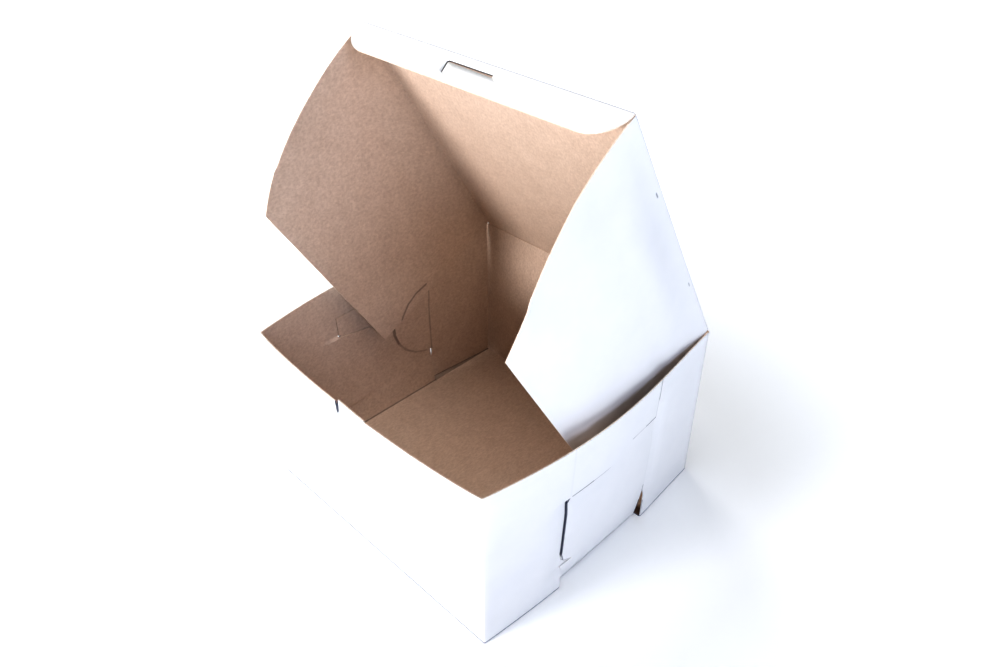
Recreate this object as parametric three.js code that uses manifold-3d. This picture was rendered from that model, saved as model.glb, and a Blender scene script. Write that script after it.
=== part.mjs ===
// Small one-piece bakery box: a glueless tray whose side walls lock by tongues, and a hinged lid
// with two quarter-round side flaps and a short tuck flap. Millimetres, +Z up, front at -Y.
// Origin: middle of the underside. The pose is the one drawn here: lid raised by lidAngle.
import * as THREE from 'three';
import Module from 'manifold-3d';

const wasm = await Module();
wasm.setup();

// Driving dimensions
const boxWidth = 127; // along X, over the folds
const boxDepth = 127; // along Y, over the folds
const boxHeight = 76.2;
const board = 0.5; // caliper of the folded board
const clearance = 0.3; // between bodies that move on each other
const layerGap = 0.35; // between layers of the locked side walls
const set = 0.04; // sheets that meet at a fold end this far short of each other's faces
const lidAngle = 59.4; // lid above level, degrees
const tuckLean = 4; // tuck flap stands out from square to the lid by this, degrees
const tuckDepth = 12.7;
const sideBow = 7; // how far the side walls belly out at the top
const sideBowPeak = 0.44; // place of the belly along the depth, from the front
const frontBow = 4.2;
const sidePanelHeight = 61; // middle panel of a side wall, folded up from the bottom
const sideThird = 0.3; // length of a corner flap as a share of the depth
const lockTabWidth = 15.8; // tab cut in the front wall's top edge
const lockTabDepth = 11.5;
const lockTabLean = 1.2;
const tongueRadius = 21; // half-round tongue of the rear corner flap
const meshStep = 17; // longest edge on bent board
const fineStep = 7; // the same where a tongue passes through a slit

const halfWidth = boxWidth / 2;
const halfDepth = boxDepth / 2;
const panelFront = boxDepth * sideThird; // front end of the middle panel, from the front fold
const panelRear = boxDepth * (1 - sideThird);
const lidHalf = halfWidth - board - clearance;
const hingeY = halfDepth - board / 2;
const hingeZ = boxHeight + clearance;
const tuckAxis = hingeY + halfDepth - 1.5 * board - clearance; // along the lid from its hinge
const lidLength = tuckAxis - board;
const flapDrop = board / 2 + 0.03; // fold of a side flap below the lid's underside
const flapDepth = boxHeight - 0.9;

const smooth = (a, b, v) => {
  const k = Math.min(1, Math.max(0, (v - a) / (b - a)));
  return k * k * (3 - 2 * k);
};

// Refines a triangle list until no edge is longer than step(u, v), keeping shared edges shared.
function refine(points, faces, step) {
  const long = (a, b) => {
    const [p, q] = [points[a], points[b]];
    return Math.hypot(p[0] - q[0], p[1] - q[1]) / step((p[0] + q[0]) / 2, (p[1] + q[1]) / 2);
  };
  for (let pass = 0; pass < 14; pass += 1) {
    const middle = new Map();
    const key = (a, b) => (a < b ? `${a}_${b}` : `${b}_${a}`);
    for (const f of faces) {
      let best = 1;
      let pick = -1;
      for (let i = 0; i < 3; i += 1) {
        const d = long(f[i], f[(i + 1) % 3]);
        if (d > best) { best = d; pick = i; }
      }
      if (pick >= 0 && !middle.has(key(f[pick], f[(pick + 1) % 3]))) {
        const a = f[pick];
        const b = f[(pick + 1) % 3];
        points.push([0, 1, 2].map((i) => (points[a][i] + points[b][i]) / 2));
        middle.set(key(a, b), points.length - 1);
      }
    }
    if (middle.size === 0) break;
    const next = [];
    for (const f of faces) {
      const m = [0, 1, 2].map((i) => middle.get(key(f[i], f[(i + 1) % 3])));
      const count = m.filter((v) => v !== undefined).length;
      if (count === 0) next.push(f);
      else if (count === 3) {
        next.push([f[0], m[0], m[2]], [f[1], m[1], m[0]], [f[2], m[2], m[1]], m);
      } else if (count === 1) {
        const i = m.findIndex((v) => v !== undefined);
        next.push([f[i], m[i], f[(i + 2) % 3]], [m[i], f[(i + 1) % 3], f[(i + 2) % 3]]);
      } else {
        const i = m.findIndex((v) => v === undefined);
        const [a, b, c] = [f[i], f[(i + 1) % 3], f[(i + 2) % 3]];
        const bc = m[(i + 1) % 3];
        const ca = m[(i + 2) % 3];
        next.push([c, ca, bc], [a, b, bc], [a, bc, ca]);
      }
    }
    faces = next;
  }
  return faces;
}

// Board cut to an outline in its flat state (u, v) and laid in space by place(u, v, w),
// where w runs from 0 on the inner face to the caliper on the outer face.
function sheet(outline, place, { holes = [], step = null } = {}) {
  const shape = new THREE.Shape(outline.map(([u, v]) => new THREE.Vector2(u, v)));
  for (const h of holes) shape.holes.push(new THREE.Path(h.map(([u, v]) => new THREE.Vector2(u, v))));
  const flat = new THREE.ExtrudeGeometry(shape, { depth: board, bevelEnabled: false });
  const points = [];
  const index = new Map();
  const at = flat.attributes.position;
  const ids = [];
  for (let i = 0; i < at.count; i += 1) {
    const p = [at.getX(i), at.getY(i), at.getZ(i)];
    const k = p.map((v) => v.toFixed(5)).join();
    if (!index.has(k)) { index.set(k, points.length); points.push(p); }
    ids.push(index.get(k));
  }
  let faces = [];
  for (let i = 0; i < ids.length; i += 3) {
    const f = ids.slice(i, i + 3);
    if (new Set(f).size === 3) faces.push(f);
  }
  if (step) faces = refine(points, faces, step);
  const placed = points.map(([u, v, w]) => place(u, v, w));
  let volume = 0;
  for (const [a, b, c] of faces) {
    const [p, q, r] = [placed[a], placed[b], placed[c]];
    volume += p[0] * (q[1] * r[2] - q[2] * r[1]) + p[1] * (q[2] * r[0] - q[0] * r[2])
      + p[2] * (q[0] * r[1] - q[1] * r[0]);
  }
  if (volume < 0) faces = faces.map(([a, b, c]) => [a, c, b]);
  return new wasm.Manifold(new wasm.Mesh({
    numProp: 3,
    vertProperties: new Float32Array(placed.flat()),
    triVerts: new Uint32Array(faces.flat()),
  }));
}

const unite = (solids) => solids.reduce((sum, s) => sum.add(s));

function arc(cu, cv, radius, from, to, steps) {
  const out = [];
  for (let i = 0; i <= steps; i += 1) {
    const a = THREE.MathUtils.degToRad(from + ((to - from) * i) / steps);
    out.push([cu + radius * Math.cos(a), cv + radius * Math.sin(a)]);
  }
  return out;
}

// Belly of a side wall: y counted from the front fold
function belly(y, share) {
  const u = Math.min(1, Math.max(0, y / boxDepth));
  const lean = Math.log(0.5) / Math.log(sideBowPeak);
  return sideBow * Math.pow(Math.sin(Math.PI * Math.pow(u, lean)), 1.2) * share;
}
const rise = (foot, z) => foot + (1 - foot) * (z / boxHeight);
const held = (z) => 1 - Math.pow(Math.max(0, 1 - z / 24), 2);
const layer = board + layerGap;

// The middle panel is held at its bottom fold and passes behind the upper tongue near its top.
const behind = (z) => layer * smooth(boxHeight * 0.52, boxHeight * 0.69, z);
const panelOut = (y, z) => belly(y, rise(0.46, z) * held(z)) - behind(z);

// Front corner flap: its lower tongue goes inside the middle panel, its upper one stays outside.
function frontFlapOut(y, z) {
  const free = belly(y, rise(0.46, z));
  const tucked = panelOut(y, z) - layer;
  const band = smooth(9, 13.4, z) * (1 - smooth(boxHeight * 0.66, boxHeight * 0.682, z));
  return free + (tucked - free) * smooth(panelFront - 11, panelFront - 1.5, y) * band;
}

// Rear corner flap: its half-round tongue lies inside the middle panel.
function rearFlapOut(y, z) {
  const free = belly(y, rise(0.62, z));
  const tucked = panelOut(y, z) - layer;
  const band = smooth(12, 18.4, z) * (1 - smooth(sidePanelHeight - 0.6, sidePanelHeight + 6, z));
  return free + (tucked - free) * (1 - smooth(panelRear + 0.6, panelRear + 10, y)) * band;
}

function sideWall(side) {
  const place = (out) => (y, z, w) => [side * (halfWidth - board + w + out(y, z)), y - halfDepth, z];
  const f = panelFront;
  const r = panelRear;
  const top = boxHeight;
  const shelf = top * 0.682; // lower edge of the upper tongue
  const hook = top * 0.755; // same edge at its rear end
  const panel = [
    [f, 0], [r, 0], [r, sidePanelHeight], [f + 0.5, sidePanelHeight], [f + 0.5, shelf],
    ...arc(f + 1.9, shelf - 3.3, 3, 90, 180, 5), ...arc(f + 6, 20.5, 7.1, 180, 268, 7),
    [f + 5, 12.4], [f, 12.4],
  ];
  const front = [
    [set, 0], [f - 0.3, 0], [f - 0.3, 12.8], [f + 12, 13.6], ...arc(f + 14, 20, 6, -90, -20, 4),
    ...arc(f + 14, 42, 7, 20, 90, 4), [f + 2, shelf - 1.6], ...arc(f + 0.4, shelf - 0.8, 0.8, 270, 90, 4),
    [f + 20, shelf], [f + 25, shelf + 0.5], [f + 30, shelf + 3], [f + 34, hook - 0.4], [f + 38, hook],
    [r - 0.15, hook], [r - 0.15, top], [set, top],
  ];
  const rear = [
    [boxDepth - set, 0], [boxDepth - set, top], [r + 0.15, top], [r + 0.15, sidePanelHeight - 0.6],
    ...arc(r + 0.4, 40, tongueRadius - 1, 88, 272, 18), [r + 0.6, 18.6], [r + 0.6, 0],
  ];
  const near = (y0, y1) => ({
    step: (y, z) => ((y > y0 && y < y1) || (z > 38 && z < 53 && y > f && y < r) ? fineStep : meshStep),
  });
  return [
    sheet(panel, place(panelOut), { step: (y, z) => (z > 38 && z < 53 ? fineStep : meshStep) }),
    sheet(front, place(frontFlapOut), near(f - 10, f)),
    sheet(rear, place(rearFlapOut), near(r, r + 9)),
  ];
}

// Front wall with the lock tab slit out of its top edge
function frontWall() {
  const left = -lockTabWidth / 2;
  const right = lockTabWidth / 2;
  const foot = boxHeight - lockTabDepth;
  const slit = 0.3;
  const end = halfWidth - set;
  const outline = [
    [-end, 0], [end, 0], [end, boxHeight], [right + slit, boxHeight],
    [right + slit, foot], [right, foot], [right, boxHeight], [left, boxHeight], [left, foot],
    [left - slit, foot], [left - slit, boxHeight], [-end, boxHeight],
  ];
  return sheet(outline, (x, z, w) => {
    const u = 0.5 + x / boxWidth;
    const out = frontBow * Math.pow(Math.max(0, 4 * u * (1 - u)), 0.8) * (z / boxHeight);
    const onTab = x > left - 0.01 && x < right + 0.01 ? Math.max(0, (z - foot) / lockTabDepth) : 0;
    return [x, -halfDepth + board - w - out + lockTabLean * onTab, z];
  }, { step: () => meshStep });
}

function tray() {
  const inset = halfWidth - board - layerGap; // the bottom passes inside the corner flaps
  const f = panelFront - halfDepth;
  const r = panelRear - halfDepth;
  const rim = [
    [inset, set - halfDepth], [inset, f], [halfWidth - set, f], [halfWidth - set, r], [inset, r],
    [inset, halfDepth - set],
  ];
  const base = sheet([...rim, ...rim.map(([x, y]) => [-x, y]).reverse()], (x, y, w) => [x, y, w]);
  const back = sheet(
    [[set - halfWidth, 0], [halfWidth - set, 0], [halfWidth - set, boxHeight], [set - halfWidth, boxHeight]],
    (x, z, w) => [x, halfDepth - board + w, z],
  );
  return unite([base, back, frontWall(), ...sideWall(1), ...sideWall(-1)]);
}

// Lid coordinates: s along the lid from its hinge, n out of its underside
const raise = THREE.MathUtils.degToRad(lidAngle);
const onLid = (x, s, n) => [
  x,
  hingeY - s * Math.cos(raise) + n * Math.sin(raise),
  hingeZ + s * Math.sin(raise) + n * Math.cos(raise),
];

function lidPanel() {
  return sheet(
    [[-lidHalf, clearance], [lidHalf, clearance], [lidHalf, lidLength], [-lidHalf, lidLength]],
    (x, s, w) => onLid(x, s, w),
  );
}

// Side flap: its front end is an arc about the hinge, so that it stays in the tray as the lid rises.
function lidSideFlap(side) {
  const radius = lidLength;
  const low = Math.asin(Math.min(0.95, flapDepth / radius));
  const outline = [
    [0.55, 0], ...arc(0, 0, radius, 0, THREE.MathUtils.radToDeg(low), 18),
    [4.3, flapDepth],
  ];
  return sheet(outline, (s, d, w) => onLid(side * (lidHalf - board + w), s, -flapDrop - d));
}

// Tuck flap with rounded ends and the slit that takes the front wall's lock tab
function lidFrontFlap() {
  const r = tuckDepth;
  const h = lidHalf;
  const outline = [
    [-h, 0], [h, 0], ...arc(h - r, 0, r, 8, 90, 9), ...arc(-h + r, 0, r, 90, 172, 9),
  ];
  const cut = [
    [-11.9, 4.6], [-11.2, 3.9], [9, 3.9], [9.2, 4.9], [-11, 4.55], [-11.3, 4.8], [-10, 9.2], [-10.4, 9.2],
  ];
  const lean = THREE.MathUtils.degToRad(tuckLean);
  return sheet(outline, (x, d, w) => {
    const out = w - board / 2;
    const s = tuckAxis + out * Math.cos(lean) + d * Math.sin(lean);
    const n = board / 2 + out * Math.sin(lean) - d * Math.cos(lean);
    return onLid(x, s, n);
  }, { holes: [cut] });
}

function toMesh(name, solid) {
  const data = solid.getMesh();
  const geometry = new THREE.BufferGeometry();
  const count = data.vertProperties.length / data.numProp;
  const position = new Float32Array(count * 3);
  for (let i = 0; i < count; i += 1) {
    for (let k = 0; k < 3; k += 1) position[3 * i + k] = data.vertProperties[i * data.numProp + k];
  }
  geometry.setAttribute('position', new THREE.BufferAttribute(position, 3));
  const merged = Uint32Array.from({ length: count }, (_, i) => i);
  data.mergeFromVert.forEach((v, i) => { merged[v] = data.mergeToVert[i]; });
  geometry.setIndex(new THREE.BufferAttribute(data.triVerts.map((v) => merged[v]), 1));
  geometry.computeVertexNormals();
  const material = new THREE.MeshStandardMaterial({ color: 0xf4f4f2, roughness: 0.7 });
  const mesh = new THREE.Mesh(geometry, material);
  mesh.name = name;
  return mesh;
}

const part = new THREE.Group();
part.name = 'bakery_box';
part.add(toMesh('tray', tray()));
part.add(toMesh('lid_panel', lidPanel()));
part.add(toMesh('lid_side_flap_right', lidSideFlap(1)));
part.add(toMesh('lid_side_flap_left', lidSideFlap(-1)));
part.add(toMesh('lid_front_flap', lidFrontFlap()));

export default part;
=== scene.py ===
# %% [markdown]
# This lesson dresses a small folding bakery box, held part open, with its white board outside
# and natural kraft inside. The sizes are those of the CAD model. Here each flat blank is cut as
# an outline, bent along its folds with a small radius, and given the thickness of real board.

# %% Load the frame
import math
import bpy
from mathutils import Matrix, Vector


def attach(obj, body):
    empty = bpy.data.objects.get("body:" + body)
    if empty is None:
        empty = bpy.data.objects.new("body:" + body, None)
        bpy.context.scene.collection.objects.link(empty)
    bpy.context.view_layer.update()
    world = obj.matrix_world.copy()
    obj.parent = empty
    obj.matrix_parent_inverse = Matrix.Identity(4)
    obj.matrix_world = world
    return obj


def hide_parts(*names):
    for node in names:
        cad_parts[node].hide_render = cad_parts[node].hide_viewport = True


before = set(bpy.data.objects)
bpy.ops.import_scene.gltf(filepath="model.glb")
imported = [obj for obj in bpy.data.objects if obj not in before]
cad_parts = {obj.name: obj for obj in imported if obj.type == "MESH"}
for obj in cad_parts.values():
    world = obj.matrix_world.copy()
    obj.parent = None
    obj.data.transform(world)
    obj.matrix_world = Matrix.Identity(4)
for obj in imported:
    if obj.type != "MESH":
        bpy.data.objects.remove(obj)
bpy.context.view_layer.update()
MM = 0.001

# %% [markdown]
# The sizes are the ones the box was designed with, in millimetres. A box of this kind is cut
# from board about half a millimetre thick, so the lid is a little narrower than the tray. A
# corner flap takes three tenths of the side wall's depth. The front slit ends at the shelf,
# and the rear one runs on to the hook above it.

# %% Sizes of the box
WIDTH = DEPTH = 127.0
HEIGHT = 76.2
BOARD = 0.5
HALF = WIDTH / 2
LAYER = BOARD + 0.18
SIDE_SHARE = 0.3
PANEL_FRONT, PANEL_REAR = DEPTH * SIDE_SHARE, DEPTH * (1 - SIDE_SHARE)
PANEL_TOP = 61.0
FRONT_SLIT, REAR_SLIT = PANEL_FRONT + 0.1, PANEL_REAR - 0.1
SHELF, HOOK = HEIGHT * 0.682, HEIGHT * 0.755
LID_HALF = HALF - BOARD - 0.3
HINGE_Y, HINGE_Z = HALF - BOARD / 2, HEIGHT + 0.3
TUCK_AXIS = HINGE_Y + HALF - 1.5 * BOARD - 0.3
LID_LENGTH = TUCK_AXIS - BOARD
FLAP_DROP, FLAP_DEPTH = 0.28, HEIGHT - 0.9
TUCK_DEPTH, TUCK_LEAN = 12.7, math.radians(4)
LID_ANGLE = math.radians(59.4)
FOLD = 0.8
TAB_HALF, TAB_DEPTH, SLIT = 7.9, 11.5, 0.3

# %% [markdown]
# The walls are not flat. The locked side walls belly out by about seven millimetres at the top,
# and the front wall by about four, because the bent board pushes them. These small functions
# say how far each layer of board stands out, so that every sheet follows the same curve. They
# count y from the front fold and z from the floor, and a foot is the share of the bow that is
# left at the floor.

# %% How far each layer stands out
SIDE_BOW, SIDE_BOW_PEAK, FRONT_BOW = 7.0, 0.44, 4.2
FRONT_FOOT, REAR_FOOT = 0.46, 0.62

def smooth(a, b, v):
    k = min(1.0, max(0.0, (v - a) / (b - a)))
    return k * k * (3 - 2 * k)

def belly(y, share):
    u = y / DEPTH
    if not 0 < u < 1:
        return 0.0
    lean = math.log(0.5) / math.log(SIDE_BOW_PEAK)
    return SIDE_BOW * math.sin(math.pi * u ** lean) ** 1.2 * share

def rise(foot, z):
    return foot + (1 - foot) * z / HEIGHT

def panel_out(y, z):
    held = 1 - max(0.0, 1 - z / 24) ** 2
    behind_tongue = LAYER * smooth(HEIGHT * 0.56, HEIGHT * 0.684, z)
    return belly(y, rise(FRONT_FOOT, z) * held) - behind_tongue

def front_flap_out(y, z):
    free = belly(y, rise(FRONT_FOOT, z))
    if y > PANEL_FRONT + 1 and z > 51.5:
        return free
    band = smooth(9, 13.4, z) * (1 - smooth(HEIGHT * 0.67, SHELF, z))
    near_slit = smooth(PANEL_FRONT - 9, PANEL_FRONT - 1.5, y)
    return free + (panel_out(y, z) - LAYER - free) * near_slit * band

def rear_flap_out(y, z):
    free = belly(y, rise(REAR_FOOT, z))
    band = smooth(13, 18.4, z) * (1 - smooth(PANEL_TOP - 0.6, PANEL_TOP + 5, z))
    near_slit = 1 - smooth(PANEL_REAR + 0.6, PANEL_REAR + 8, y)
    return free + (panel_out(y, z) - LAYER - free) * near_slit * band

def front_out(x, z):
    u = 0.5 + x / WIDTH
    return FRONT_BOW * max(0.0, 4 * u * (1 - u)) ** 0.8 * z / HEIGHT

# %% [markdown]
# Board bends along a crease with a small radius. Measured along the unrolled sheet, a point
# before the crease stays on the first panel, one past it lies on the next, and the few between
# go round the bend.

# %% Bend a sheet round a corner
def round_corner(t, corner):
    """Distance along the sheet to (run along the first panel, run along the next)."""
    half_arc = FOLD * math.pi / 4
    if t <= corner - half_arc:
        return t * (corner - FOLD) / (corner - half_arc), 0.0
    if t >= corner + half_arc:
        return corner, t - corner
    a = (t - corner + half_arc) / FOLD
    return corner - FOLD + FOLD * math.sin(a), FOLD - FOLD * math.cos(a)

def bend_cuts(corner):
    return [corner + FOLD * math.pi / 4 * k / 3 for k in range(-3, 4)]

# %% [markdown]
# A blank starts as a filled circle with one vertex for each point of its outline. The vertices
# move to the outline, bisect cuts cross it so that it can curve, every vertex goes to its place
# on the box, and Solidify gives it the thickness. Each piece holds the same materials in the
# same slots: the white coat outside, kraft inside, the cut edge round the rim, and one extra
# where the piece needs it.

# %% Cut, bend and thicken a sheet of board
WHITE, KRAFT, CUT, EXTRA = range(4)

def arc(cu, cv, radius, start, end, steps):
    angles = [math.radians(start + (end - start) * i / steps) for i in range(steps + 1)]
    return [(cu + radius * math.cos(a), cv + radius * math.sin(a)) for a in angles]

def steps(low, high, pitch):
    n = max(1, round((high - low) / pitch))
    return [low + (high - low) * i / n for i in range(1, n)]

def both_sides(distances):
    return [side * u for side in (1, -1) for u in distances]

def cut_board(name, outline, u_cuts, v_cuts, place, outward, coat, thickness=BOARD):
    """Board cut flat in (u, v), laid in space by place, with its white side facing outward."""
    bpy.ops.object.select_all(action="DESELECT")
    bpy.ops.mesh.primitive_circle_add(vertices=len(outline), fill_type="NGON")
    piece = bpy.context.object
    piece.name = piece.data.name = name
    for vertex, (u, v) in zip(piece.data.vertices, outline):
        vertex.co = (u, v, 0)
    bpy.ops.object.mode_set(mode="EDIT")
    for cuts, normal in ((u_cuts, (1, 0, 0)), (v_cuts, (0, 1, 0))):
        for cut in cuts:
            bpy.ops.mesh.select_all(action="SELECT")
            bpy.ops.mesh.bisect(plane_co=[cut * k for k in normal], plane_no=normal)
    bpy.ops.object.mode_set(mode="OBJECT")
    for vertex in piece.data.vertices:
        vertex.co = Vector(place(vertex.co.x, vertex.co.y)) * MM
    piece.data.update()
    big = max(piece.data.polygons, key=lambda p: p.area)
    if big.normal.dot(Vector(outward(big.center / MM))) < 0:
        bpy.ops.object.mode_set(mode="EDIT")
        bpy.ops.mesh.select_all(action="SELECT")
        bpy.ops.mesh.flip_normals()
        bpy.ops.object.mode_set(mode="OBJECT")
    for material in (coat, kraft_board, cut_edge):
        piece.data.materials.append(material)
    solid = piece.modifiers.new("board", "SOLIDIFY")
    solid.thickness = thickness * MM
    solid.offset = -1
    solid.material_offset, solid.material_offset_rim = KRAFT, CUT
    bpy.ops.object.modifier_apply(modifier="board")
    bpy.ops.object.shade_smooth_by_angle(angle=math.radians(35))
    print(name, "faces:", len(piece.data.polygons))
    return piece

# %% [markdown]
# Shader arithmetic reads best as plain expressions, so a small class wraps a socket and turns
# the operators into Math nodes.

# %% Shader expressions
class Shade:
    def __init__(self, tree, socket):
        self.tree, self.socket = tree, socket

    def node(self, kind, inputs=None, output=0, **settings):
        made = self.tree.nodes.new(kind)
        for key, value in settings.items():
            setattr(made, key, value)
        for key, value in (inputs or {}).items():
            if isinstance(value, Shade):
                self.tree.links.new(value.socket, made.inputs[key])
            else:
                made.inputs[key].default_value = value
        return Shade(self.tree, made.outputs[output])

    def maths(self, operation, a, b=0.0):
        return self.node("ShaderNodeMath", {0: a, 1: b}, operation=operation)

    def vector(self, operation, inputs, output=0):
        return self.node("ShaderNodeVectorMath", inputs, output=output, operation=operation)

    def __add__(self, o): return self.maths("ADD", self, o)
    def __radd__(self, o): return self.maths("ADD", o, self)
    def __sub__(self, o): return self.maths("SUBTRACT", self, o)
    def __mul__(self, o): return self.maths("MULTIPLY", self, o)
    def __rmul__(self, o): return self.maths("MULTIPLY", o, self)
    def __pow__(self, o): return self.maths("POWER", self, o)

def new_material(name):
    material = bpy.data.materials.new(name)
    material.use_nodes = True
    tree = material.node_tree
    shader = tree.nodes["Principled BSDF"]
    start = Shade(tree, tree.nodes.new("ShaderNodeTexCoord").outputs["Object"])
    return material, tree, shader, start

def noise(place, scale, detail=3.0, rough=0.5, stretch=(1, 1, 1)):
    mapped = place.node("ShaderNodeMapping", {"Vector": place, "Scale": stretch})
    return place.node("ShaderNodeTexNoise", {"Vector": mapped, "Scale": scale, "Detail": detail,
                                             "Roughness": rough})

def fade(value, low, high):
    return value.node("ShaderNodeMapRange", {"Value": value, 1: low, 2: high})

def mix(factor, a, b):
    return factor.node("ShaderNodeMix", {0: factor, 6: a, 7: b}, output=2, data_type="RGBA")

def coordinates(place):
    return [place.node("ShaderNodeSeparateXYZ", {"Vector": place}, output=i) for i in range(3)]

def bump(height, distance, strength):
    return height.node("ShaderNodeBump", {"Height": height, "Distance": distance,
                                          "Strength": strength})

def connect(tree, shader, **links):
    for key, value in links.items():
        tree.links.new(value.socket, shader.inputs[key.replace("_", " ")])

# %% [markdown]
# A slit or a crease is only a hair wide, so the shade in the gap that the pieces leave is
# painted into the material as well: a dark line of painted shade along it, from the distance
# of each point to a line in the y-z plane.

# %% Painted shade lines along slits and creases
def near_line(place, a, b, width):
    a, b = (Vector((0, y - HALF, z)) * MM for y, z in (a, b))
    run = b - a
    flat = place.vector("MULTIPLY", {0: place, 1: (0, 1, 1)})
    start = flat.vector("SUBTRACT", {0: flat, 1: a})
    along = start.vector("DOT_PRODUCT", {0: start, 1: run / run.length_squared}, output=1)
    along = along.node("ShaderNodeClamp", {"Value": along})
    foot_point = along.vector("SCALE", {0: run, "Scale": along})
    gap = start.vector("DISTANCE", {0: start, 1: foot_point}, output=1)
    return fade(gap, width * MM, width * MM * 0.35)

def all_lines(place, marks):
    """The strongest mark at each point. A mark is (start, end, half width, strength)."""
    total = None
    for a, b, width, strength in marks:
        line = near_line(place, a, b, width) * strength
        total = line if total is None else total.maths("MAXIMUM", total, line)
    return total

# %% [markdown]
# The outside of the board is clay-coated: bright, slightly cool, almost even, with a faint
# cloudiness and a very fine tooth that only shows in raking light. Dark lines of painted shade
# run along the tray's slits, its corner folds and its foot, the lid's folds carry a bluish
# painted shade, and each side flap has two small nicks darkened with painted shade.

# %% White coated faces
# Painted shade in the slits beside the lock tab on the front wall.
tab_shade_lines = [((55.5, 77), (55.4, 71), 0.5, 0.9), ((55.4, 71), (55.2, 66.5), 0.4, 0.45),
             ((71.5, 77), (71.3, 73.8), 0.4, 0.5), ((71.6, 72), (71.2, 64.5), 0.6, 0.04),
             ((71.25, 65), (71.2, 64.6), 0.5, 0.15)]

# The dark colour of the painted shade lines in slits, creases and nicks.
PAINTED_SHADE = (0.03, 0.04, 0.08, 1)
CLAY = ((0.885, 0.89, 0.90, 1), (0.91, 0.912, 0.918, 1))
# The bluish painted shade along the lid's folds.
BLUE_FOLD_SHADE = ((0.22, 0.27, 0.42, 1), (0.27, 0.32, 0.48, 1))

def coated(name, marks=(), tray_edge_shade=False, tones=CLAY):
    material, tree, shader, place = new_material(name)
    cloud = noise(place, 60, 3, 0.6)
    tooth = noise(place, 2600, 2, 0.6)
    white = mix(fade(cloud, 0.35, 0.7), *tones)
    # Painted shade along slits and creases.
    if marks:
        white = mix(all_lines(place, marks), white, PAINTED_SHADE)
    # Painted shade at the lock tab's slits, along the tray's corner folds and along its foot.
    if tray_edge_shade:
        x, y, z = coordinates(place)
        from_left = x.node("ShaderNodeCombineXYZ", {1: x, 2: z})
        on_front = fade(y, -60 * MM, -61 * MM)
        white = mix(all_lines(from_left, tab_shade_lines) * on_front, white, PAINTED_SHADE)
        # Dark blue painted shade along the corner folds, stronger at the front left and back
        # right, and a thin line along the foot.
        off_x, off_y = x.maths("ABSOLUTE", x) - HALF * MM, y.maths("ABSOLUTE", y) - HALF * MM
        off_corner = (off_x * off_x + off_y * off_y) ** 0.5
        diagonal = fade(x * y, 0.001, 0.002) * 0.75 + 0.1
        crease_shade = fade(off_corner, 0.75 * MM, 0.35 * MM) * diagonal
        crease_shade = crease_shade.maths("MAXIMUM", crease_shade, fade(z, 0.75 * MM, 0.15 * MM) * 0.85)
        white = mix(crease_shade, white, (0.01, 0.03, 0.11, 1))
    connect(tree, shader, Base_Color=white, Roughness=0.5 + 0.12 * cloud,
            Normal=bump(tooth, 0.03 * MM, 0.25))
    shader.inputs["Specular IOR Level"].default_value = 0.35
    return material

# Painted shade along the side walls' slits, shelf and hook, and faint crease shade.
tray_white = coated("tray_white", tray_edge_shade=True, marks=[
    ((FRONT_SLIT + 23, SHELF), (FRONT_SLIT + 11, SHELF), 0.35, 0.5),
    ((FRONT_SLIT + 12, SHELF), (FRONT_SLIT + 1, SHELF - 0.1), 0.5, 1),
    ((FRONT_SLIT + 1, SHELF - 0.1), (FRONT_SLIT - 1.1, SHELF - 2.6), 0.5, 1),
    ((FRONT_SLIT - 1.1, SHELF - 2.6), (FRONT_SLIT - 1.25, 21), 0.5, 0.95),
    ((FRONT_SLIT - 1.25, 21), (FRONT_SLIT + 0.4, 16), 0.45, 0.7),
    ((FRONT_SLIT + 0.4, 16), (FRONT_SLIT + 4.5, 13.6), 0.4, 0.35),
    ((REAR_SLIT, HOOK), (REAR_SLIT - 7, HOOK), 0.5, 0.9),
    ((REAR_SLIT - 7, HOOK), (REAR_SLIT - 16, HOOK), 0.4, 0.35),
    ((REAR_SLIT, HOOK), (REAR_SLIT, HEIGHT), 0.4, 0.4),
    ((REAR_SLIT, 0), (REAR_SLIT, 10), 0.8, 1),
    ((REAR_SLIT, 10), (REAR_SLIT, 19.5), 0.55, 0.6),
    ((REAR_SLIT, 21), (REAR_SLIT, HOOK - 8), 0.8, 0.03),
    ((FRONT_SLIT, SHELF + 1), (FRONT_SLIT, HEIGHT), 0.7, 0.03)])
lid_white = coated("lid_white")
fold_shade_white = coated("fold_shade_white", tones=BLUE_FOLD_SHADE)
# Painted shade in two small nicks at the flap's edge.
flap_white = coated("flap_white", marks=[((77.6, 154.6), (78.6, 153), 0.45, 0.55),
                                         ((105.7, 108.6), (106.6, 107), 0.4, 0.4)])

# %% [markdown]
# The inside is bare kraft: pinkish brown, with short fibres that lie roughly one way, darker
# specks and soft clouds. One stretched noise makes the fibres, and the peaks of a finer one the
# specks. A line of painted shade follows the outline of the half-round tongue behind the left
# flap, on the walls and across the flaps, and painted shade darkens the kraft under the right
# rear foot slit and along the inside foot of the side walls.

# %% Kraft face
kraft_board, tree, shader, place = new_material("kraft_board")
cloud = noise(place, 110, 4, 0.65)
fibre = noise(place, 1500, 5, 0.7, (1.0, 0.42, 0.6))
fleck = noise(place, 2600, 3, 0.65, (1.0, 0.5, 0.8))
tone = fade(cloud * 0.22 + fibre * 0.78, 0.36, 0.64)
brown = mix(tone, (0.61, 0.485, 0.40, 1), (0.78, 0.65, 0.55, 1))
brown = mix(fade(fleck, 0.60, 0.74) * 0.35, brown, (0.36, 0.25, 0.18, 1))
half_round = arc(89.3, 40, 20.6, 100, 262, 9)
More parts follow.
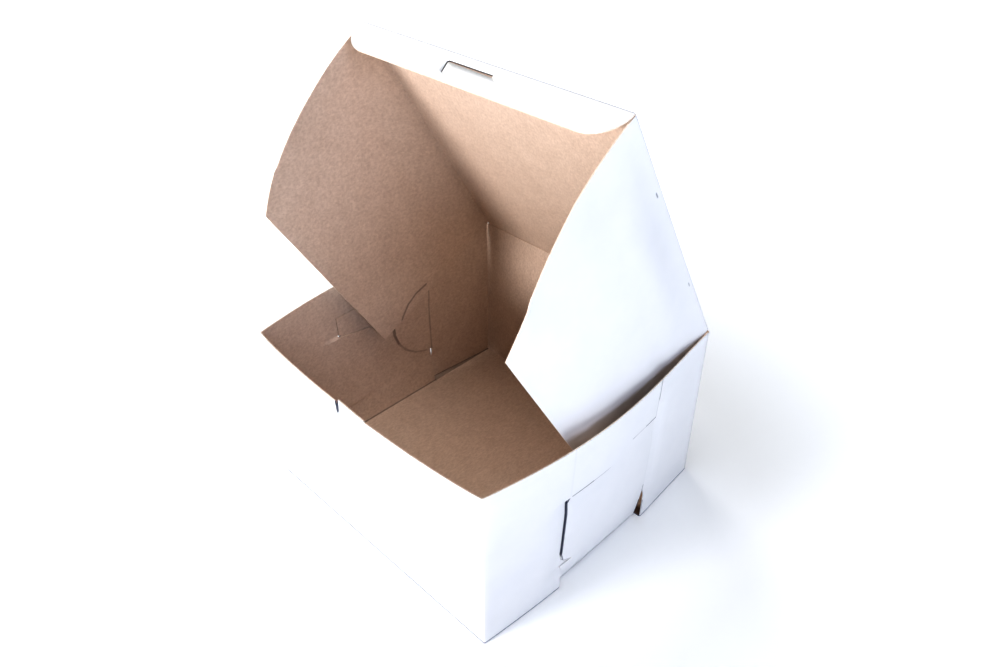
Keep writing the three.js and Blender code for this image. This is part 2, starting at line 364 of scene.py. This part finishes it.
# Painted shade along the outline and root of the half-round tongue, on the walls and across the
# flaps.
tongue_outline_lines = [(half_round[i], half_round[i + 1], 0.8, 0.5 if i < 6 else 0.3)
         for i in range(len(half_round) - 1)]
tongue_outline_lines += [((90.0, 56), (89.7, 40), 0.55, 0.35), ((89.7, 40), (89.5, 20), 0.7, 0.35)]
across, _, height = coordinates(place)
right_side = fade(across, 60.8 * MM, 62.2 * MM)
across = across.maths("ABSOLUTE", across)
# Painted shade under the right rear foot slit and along the inside foot of the side walls.
rear_foot_shade = all_lines(place, [((91, 0), (91, 17), 4, 0.95)]) * right_side
wall_foot_shade = fade(across, 62.4 * MM, 62.9 * MM) * fade(height, 1.0 * MM, 0.7 * MM) * 0.6
foot_shade_mask = rear_foot_shade.maths("MAXIMUM", rear_foot_shade, wall_foot_shade)
tongue_outline_shade = all_lines(place, tongue_outline_lines) * fade(across, 59 * MM, 60 * MM)
# All of this painted shade is one dark brown.
brown = mix(foot_shade_mask.maths("MAXIMUM", foot_shade_mask, tongue_outline_shade), brown, (0.09, 0.05, 0.035, 1))
connect(tree, shader, Base_Color=brown, Roughness=0.72 + 0.15 * fibre,
        Normal=bump(fibre + fleck * 0.5, 0.08 * MM, 0.5))
shader.inputs["Specular IOR Level"].default_value = 0.3

# %% [markdown]
# Where the die cut the board, the brown plies show as a thin tan line with a rough grain.

# %% Cut edge
cut_edge, tree, shader, place = new_material("cut_edge")
ply = noise(place, 1500, 3, 0.6, (1, 1, 2))
tan = mix(fade(ply, 0.35, 0.65), (0.74, 0.62, 0.52, 1), (0.90, 0.83, 0.76, 1))
connect(tree, shader, Base_Color=tan, Roughness=0.8 + 0.1 * ply)

# %% [markdown]
# The sides of the tuck flap's slit are cut through the board's plies and lie deep in the
# narrow cut, so they carry an almost black painted shade.

# %% Sides of the slit
slit_shade, tree, shader, place = new_material("slit_shade")
ply = noise(place, 1500, 3, 0.6, (1, 1, 2))
black = mix(ply, (0.010, 0.010, 0.014, 1), (0.030, 0.028, 0.032, 1))
connect(tree, shader, Base_Color=black, Roughness=0.8 + 0.1 * ply)

# %% [markdown]
# The front wall and both front corner flaps are one strip of board. Each corner flap ends in
# two tongues: the upper one lies outside the middle panel of the side wall, the lower one goes
# inside it. The lock tab, cut into the front wall's top edge, leans out by three quarters of a
# millimetre.

# %% Front strip
f, r = PANEL_FRONT, PANEL_REAR
side_outline = [
    (f - 0.3, 0), (f - 0.3, 12.3), (f + 5, 12.6), (f + 12, 13.6),
    *arc(f + 14, 20, 6, -90, -20, 4), *arc(f + 14, 42, 7, 20, 90, 4),
    (f + 2, SHELF - 1.1), *arc(f + 0.3, SHELF - 0.3, 0.3, 270, 90, 4), (f + 20, SHELF),
    (f + 25, SHELF + 0.5), (f + 30, SHELF + 3), (f + 34, HOOK - 0.4), (f + 38, HOOK),
    (r - 0.15, HOOK), (r - 0.15, HEIGHT),
]
right = [(HALF + y, z) for y, z in side_outline]
foot = HEIGHT - TAB_DEPTH
tab = [(TAB_HALF + SLIT, HEIGHT), (TAB_HALF + SLIT / 2, foot), (TAB_HALF, HEIGHT)]
front_outline = (right + tab + [(-u, v) for u, v in reversed(tab)]
                 + [(-u, v) for u, v in reversed(right)])

def place_front(u, z):
    sign = 1 if u >= 0 else -1
    along, side = round_corner(abs(u), HALF)
    out = front_out(sign * along, z) if side < FOLD else 0.0
    lean = 0.0
    if abs(u) < TAB_HALF + 0.02:
        lean = (0.75 - 0.3 * u / TAB_HALF) * max(0.0, (z - foot) / TAB_DEPTH)
    x = along + (front_flap_out(side, z) if side >= FOLD else 0.0)
    return sign * x, -HALF + side - out + lean, z

strip_u = both_sides(steps(0, HALF, 4) + bend_cuts(HALF) + steps(HALF + 1, HALF + r, 2.5)
                     + [TAB_HALF])
strip_v = steps(0, HEIGHT, 3.2) + [11, 12, 13, 14.5, 16, SHELF - 1, SHELF, SHELF + 1, HOOK]
front_strip = cut_board("front_strip", front_outline, strip_u, strip_v, place_front,
                        lambda c: (c.x, c.y, 0), tray_white)

# %% [markdown]
# The back wall and the rear corner flaps are a second strip. Its half-round tongues lie inside
# the middle panels, where they show through the open lid.

# %% Rear strip
rear_side = [
    (DEPTH - r - 0.6, 0), (DEPTH - r - 0.35, 19.2), *arc(DEPTH - r - 0.4, 40, 20, -88, 88, 26),
    (DEPTH - r - 0.15, PANEL_TOP - 0.4), (DEPTH - r - 0.15, HEIGHT),
]
rear_side = [(HALF + d, z) for d, z in rear_side]
rear_side += [(HALF - 0.8, HEIGHT), (HALF - 1.0, HEIGHT + 0.25)]
rear_outline = rear_side + [(-u, v) for u, v in reversed(rear_side)]

def place_rear(u, z):
    sign = 1 if u >= 0 else -1
    along, side = round_corner(abs(u), HALF)
    x = along + (rear_flap_out(DEPTH - side, z) if side >= FOLD else 0.0)
    return sign * x, HALF - side, z

rear_u = both_sides(steps(0, HALF, 8) + bend_cuts(HALF) + steps(HALF + 1, HALF + 60, 2.5))
rear_v = steps(0, HEIGHT, 3.2) + [14, 15, 17, 18.5, 60, 61.5, 63]
rear_strip = cut_board("rear_strip", rear_outline, rear_u, rear_v, place_rear,
                       lambda c: (c.x, c.y, 0), tray_white)

# %% [markdown]
# The bottom carries the middle panel of each side wall on a fold, so it is a third strip. It is
# narrower beside the corner flaps, which stand free of it.

# %% Bottom strip
panel_side = [
    (0, r), (PANEL_TOP, r), (PANEL_TOP, f + 0.5), (SHELF, f + 0.5),
    *[(z, y) for y, z in arc(f + 1.9, SHELF - 3.3, 3, 90, 180, 6)],
    *[(z, y) for y, z in arc(f + 6, 20.5, 7.1, 180, 268, 9)],
    (12.4, f + 5), (12.4, f), (0, f),
]
INSET = HALF - BOARD - 0.05
CUT_BACK = HALF - 1.0
front_run = (0.46, 4, 8, 13, 18, 24, 30, 35, f - 0.25)
rear_run = (r + 0.25, 92, 97, 103, 109, 115, 120, 124, 126.54)
right = [(INSET + front_flap_out(y, 0.3), y) for y in front_run]
right += [(CUT_BACK, f - 0.25), (CUT_BACK, f)]
right += [(HALF + z, y) for z, y in reversed(panel_side)]
right += [(CUT_BACK, r), (CUT_BACK, r + 0.25)]
right += [(INSET + rear_flap_out(y, 0.3), y) for y in rear_run]
bottom_outline = right + [(-u, v) for u, v in reversed(right)]

def place_bottom(u, y):
    sign = 1 if u >= 0 else -1
    folded = f - 0.1 < y < r + 0.1 or abs(u) > HALF + 4
    along, up = round_corner(abs(u), HALF) if folded else (abs(u), 0.0)
    x = along + (panel_out(y, up) if up > 0 else 0.0)
    return sign * x, y - HALF, up

bottom_u = both_sides(steps(0, HALF, 8) + bend_cuts(HALF)
                      + steps(HALF + 1, HALF + PANEL_TOP, 2.5)
                      + [HALF + SHELF - 0.5, HALF + SHELF + 0.5])
bottom_strip = cut_board("bottom_strip", bottom_outline, bottom_u, steps(0, DEPTH, 3.3),
                         place_bottom,
                         lambda c: (0, 0, -1) if abs(c.x) < HALF - 1 else (c.x, 0, 0),
                         tray_white)

# %% [markdown]
# The three strips are one blank on the real box, so they are joined into one piece. A rim stays
# a tan cut along the top edge and turns to kraft at the back and round the tongues, deep in the
# slits. All the others are white, because the coated face runs on there.

# %% Join the tray
bpy.ops.object.select_all(action="DESELECT")
for strip in (rear_strip, bottom_strip, front_strip):
    strip.select_set(True)
bpy.context.view_layer.objects.active = front_strip
bpy.ops.object.join()
tray_board = front_strip
tray_board.name = tray_board.data.name = "tray_board"
SLIT_Y = PANEL_REAR - HALF

def in_slit(x, y, z):
    rear_tongue = 4 < y < SLIT_Y - 0.2 and 17 < z < PANEL_TOP
    front_tongue = 0.4 - SLIT_Y < y < -3 and 13 < z < SHELF - 0.7
    panel_top = abs(y) < SLIT_Y + 0.6 and abs(z - PANEL_TOP) < 1
    panel_notch = abs(y + SLIT_Y) < 0.75 and SHELF + 0.5 < z < PANEL_TOP + 1
    return abs(x) > 55 and (rear_tongue or front_tongue or panel_top or panel_notch)

for face in tray_board.data.polygons:
    if face.material_index == CUT:
        x, y, z = face.center / MM
        if z > HEIGHT - 0.2:
            face.material_index = KRAFT if y > HALF - 1.2 else CUT
        else:
            face.material_index = KRAFT if in_slit(x, y, z) else WHITE
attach(tray_board, "tray_body")
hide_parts("tray")

# %% [markdown]
# The lid lies in its own frame: s runs from the hinge to the front edge, n out of the upper
# face. Its three free sides roll over the folds, so that the coated face runs on into the
# flaps.

# %% Lid panel
def on_lid(x, s, n):
    return (x, HINGE_Y - s * math.cos(LID_ANGLE) + n * math.sin(LID_ANGLE),
            HINGE_Z + s * math.sin(LID_ANGLE) + n * math.cos(LID_ANGLE))

lid_up = (0, math.sin(LID_ANGLE), math.cos(LID_ANGLE))
ROLL = 0.7
ROLL_LENGTH = ROLL * math.pi / 2

def roll_over(t, start):
    """Distance along the sheet to (reach, drop) where it rolls over an edge."""
    if t <= start:
        return t, 0.0
    a = min((t - start) / ROLL, math.pi / 2)
    return start + ROLL * math.sin(a), ROLL - ROLL * math.cos(a)

side_start, front_start = LID_HALF - ROLL, TUCK_AXIS + BOARD / 2 - ROLL
u1, v1 = side_start + ROLL_LENGTH, front_start + ROLL_LENGTH
lid_outline = [(-side_start, -0.1), (side_start, -0.1), (side_start, 0.6), (u1, 0.6),
               (u1, front_start), (side_start, front_start), (side_start, v1), (-side_start, v1),
               (-side_start, front_start), (-u1, front_start), (-u1, 0.6), (-side_start, 0.6)]

def place_lid(u, v):
    x, side_drop = roll_over(abs(u), side_start)
    s, front_drop = roll_over(v, front_start)
    return on_lid(math.copysign(x, u), s, BOARD - side_drop - front_drop)

roll_cuts = [ROLL_LENGTH * k / 4 for k in range(4)]
lid_u = both_sides(steps(0, side_start, 10) + [side_start + c for c in roll_cuts])
lid_v = steps(0, front_start, 10) + [front_start + c for c in roll_cuts]
lid_panel = cut_board("lid_board", lid_outline, lid_u, lid_v, place_lid, lambda c: lid_up,
                      lid_white)

def from_hinge(point):
    """Distances from the hinge (along the lid, below its underside)."""
    back, up = HINGE_Y - point.y / MM, point.z / MM - HINGE_Z
    return (back * math.cos(LID_ANGLE) + up * math.sin(LID_ANGLE),
            back * math.sin(LID_ANGLE) - up * math.cos(LID_ANGLE))

# The faces that roll over the lid's folds take the bluish painted shade.
lid_panel.data.materials.append(fold_shade_white)
for face in lid_panel.data.polygons:
    if face.material_index == CUT:
        face.material_index = KRAFT if from_hinge(face.center)[0] < 2 else WHITE
    elif face.material_index == WHITE and 0.5 < face.normal.dot(Vector(lid_up)) < 0.93:
        face.material_index = EXTRA
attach(lid_panel, "lid")
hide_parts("lid_panel")

# %% [markdown]
# A side flap is a quarter of a circle about the hinge, cut off straight at the depth of the
# tray. That arc lets it stay inside the tray as the lid rises.

# %% Side flaps
low_angle = math.degrees(math.asin(FLAP_DEPTH / LID_LENGTH))
flap_outline = [(0.55, 0.0), *arc(0, 0, LID_LENGTH, 0, low_angle, 40), (4.3, FLAP_DEPTH)]

def flap_bow(s, d):
    """The flap bows as far as the closed walls leave room for it."""
    y, z = DEPTH - 0.25 - s, HEIGHT + 0.3 - d
    room = panel_out(y, z) - LAYER if FRONT_SLIT - 8 < y < REAR_SLIT else min(
        front_flap_out(y, z), rear_flap_out(y, z), panel_out(y, z))
    return max(0.0, room - 0.15) * smooth(0, 22, d) * smooth(0, 14, s)

def make_side_flap(name, sign, body, node):
    flap = cut_board(name, flap_outline, steps(0, LID_LENGTH, 4), steps(0, FLAP_DEPTH, 4),
                     lambda s, d: on_lid(sign * (LID_HALF + flap_bow(s, d)), s,
                                         -FLAP_DROP + 0.05 - d),
                     lambda c: (sign, 0, 0), flap_white)
    for face in flap.data.polygons:
        if face.material_index == CUT and from_hinge(face.center)[0] < 5:
            face.material_index = KRAFT
    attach(flap, body)
    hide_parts(node)

make_side_flap("right_flap_board", 1, "right_flap", "lid_side_flap_right")
make_side_flap("left_flap_board", -1, "left_flap", "lid_side_flap_left")

# %% [markdown]
# The tuck flap has quarter-round ends. Its angled slit, which takes the tab of the front wall,
# is cut by a Boolean, wider towards one end, so that it stands open.

# %% Tuck flap
tuck_outline = [(-LID_HALF, 0.45), (LID_HALF, 0.45),
                *arc(LID_HALF - TUCK_DEPTH, 0, TUCK_DEPTH, 6, 90, 24),
                *arc(-LID_HALF + TUCK_DEPTH, 0, TUCK_DEPTH, 90, 174, 24)]

def place_tuck(x, d):
    s = TUCK_AXIS + BOARD / 2 * math.cos(TUCK_LEAN) + d * math.sin(TUCK_LEAN)
    n = BOARD / 2 + BOARD / 2 * math.sin(TUCK_LEAN) - d * math.cos(TUCK_LEAN)
    return on_lid(x, s, n)

lid_out = (0, -math.cos(LID_ANGLE), math.sin(LID_ANGLE))
tuck_flap = cut_board("tuck_flap_board", tuck_outline, steps(-LID_HALF, LID_HALF, 5),
                      steps(0.5, TUCK_DEPTH, 2), place_tuck, lambda c: lid_out, lid_white)
slit_outline = [(-11.9, 4.6), (-11.2, 3.9), (9, 3.9), (9.2, 4.9), (-11, 4.55), (-11.3, 4.8),
                (-10, 9.2), (-10.4, 9.2)]
cutter = cut_board("slit_cutter", slit_outline, [], [],
                   lambda x, d: Vector(place_tuck(x, d)) + Vector(lid_out) * 1.5,
                   lambda c: lid_out, lid_white, thickness=4)
slit = tuck_flap.modifiers.new("slit", "BOOLEAN")
slit.operation, slit.solver, slit.object = "DIFFERENCE", "EXACT", cutter
bpy.context.view_layer.objects.active = tuck_flap
bpy.ops.object.modifier_apply(modifier="slit")
bpy.data.objects.remove(cutter)

# The cut faces inside the slit take the almost black painted shade.
tuck_flap.data.materials.append(slit_shade)
for face in tuck_flap.data.polygons:
    inside_slit = 3.2 < from_hinge(face.center)[1] < 9.6 and abs(face.center.x) < 13 * MM
    if face.material_index == CUT and inside_slit:
        face.material_index = EXTRA
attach(tuck_flap, "front_flap")
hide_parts("lid_front_flap")

# %% [markdown]
# The box stands on a pale sweep of paper that fills the view. Away from the box it glows a
# little, so that the shadows end softly and the ground turns pure white.

# %% Floor
paper, tree, shader, place = new_material("studio_floor")
GLOW_START, GLOW_END = 0.12, 0.3
far = fade(place.vector("LENGTH", {0: place}, output=1), GLOW_START, GLOW_END)
white_paper = mix(noise(place, 3), (0.93, 0.935, 0.94, 1), (0.95, 0.95, 0.955, 1))
connect(tree, shader, Base_Color=white_paper,
        Emission_Color=mix(far, (0.14, 0.15, 0.16, 1), (0.88, 0.93, 1.0, 1)))
shader.inputs["Roughness"].default_value = 0.9
shader.inputs["Emission Strength"].default_value = 1.0
bpy.ops.object.select_all(action="DESELECT")
bpy.ops.mesh.primitive_plane_add(size=4)
floor = bpy.context.object
floor.name = "studio_floor"
floor.data.materials.append(paper)

# %% [markdown]
# The photograph is high key: a soft source low at the front left, a cool one at the right,
# weaker ones from the corner, above and behind, and a white surround. The right walls stay a
# little bluer.

# %% Lights
BOX_MIDDLE = Vector((0, 0, 0.06))

def soft_light(name, place, size, power, colour):
    data = bpy.data.lights.new(name, "AREA")
    data.shape, data.size, data.energy, data.color = "DISK", size, power, colour
    lamp = bpy.data.objects.new(name, data)
    bpy.context.scene.collection.objects.link(lamp)
    lamp.location = place
    lamp.rotation_euler = (BOX_MIDDLE - Vector(place)).to_track_quat("-Z", "Y").to_euler()

soft_light("key", (-0.25, -1.05, 0.3), 0.3, 9.6, (1.0, 0.98, 0.97))
soft_light("side", (1.0, -0.35, 0.5), 0.6, 5.3, (0.70, 0.77, 0.95))
soft_light("corner", (0.8, -0.8, 0.35), 0.35, 1.4, (1.0, 0.95, 0.92))
soft_light("top", (0.1, -0.2, 1.2), 0.6, 5.0, (1.0, 0.99, 0.97))
soft_light("rear", (-0.9, 0.4, 0.6), 0.6, 5, (1.0, 0.98, 0.95))

SURROUND_GLOW = 0.03
world = bpy.data.worlds.new("surround")
bpy.context.scene.world = world
world.use_nodes = True
sky = world.node_tree.nodes["Background"]
sky.inputs["Color"].default_value = (1.0, 1.0, 1.0, 1)
seen = world.node_tree.nodes.new("ShaderNodeLightPath")
dim = world.node_tree.nodes.new("ShaderNodeMath")
dim.operation = "MAXIMUM"
dim.inputs[1].default_value = SURROUND_GLOW
world.node_tree.links.new(seen.outputs["Is Camera Ray"], dim.inputs[0])
world.node_tree.links.new(dim.outputs[0], sky.inputs["Strength"])

# %% [markdown]
# The camera's place and lens were worked out from the box's own corners in the photograph.

# %% Camera
PHOTO_WIDTH, FOCAL_PIXELS, SENSOR = 1000, 856.91, 36
camera_data = bpy.data.cameras.new("camera")
camera_data.sensor_width = SENSOR
camera_data.lens = FOCAL_PIXELS * SENSOR / PHOTO_WIDTH
camera_data.clip_start = 0.01
camera = bpy.data.objects.new("camera", camera_data)
bpy.context.scene.collection.objects.link(camera)
right_axis = Vector((0.7103453, 0.7038501, 0.0021518))
down_axis = Vector((0.4159702, -0.4173388, -0.8079586))
view_axis = Vector((-0.5677837, 0.5748247, -0.5892353))
turn = Matrix((right_axis, -down_axis, -view_axis)).transposed().to_4x4()
camera_place = Vector((0.19854, -0.19262, 0.27708))
camera.matrix_world = Matrix.Translation(camera_place) @ turn
bpy.context.scene.camera = camera
bpy.context.scene.view_settings.view_transform = "Standard"
bpy.context.scene.view_settings.gamma = 0.72
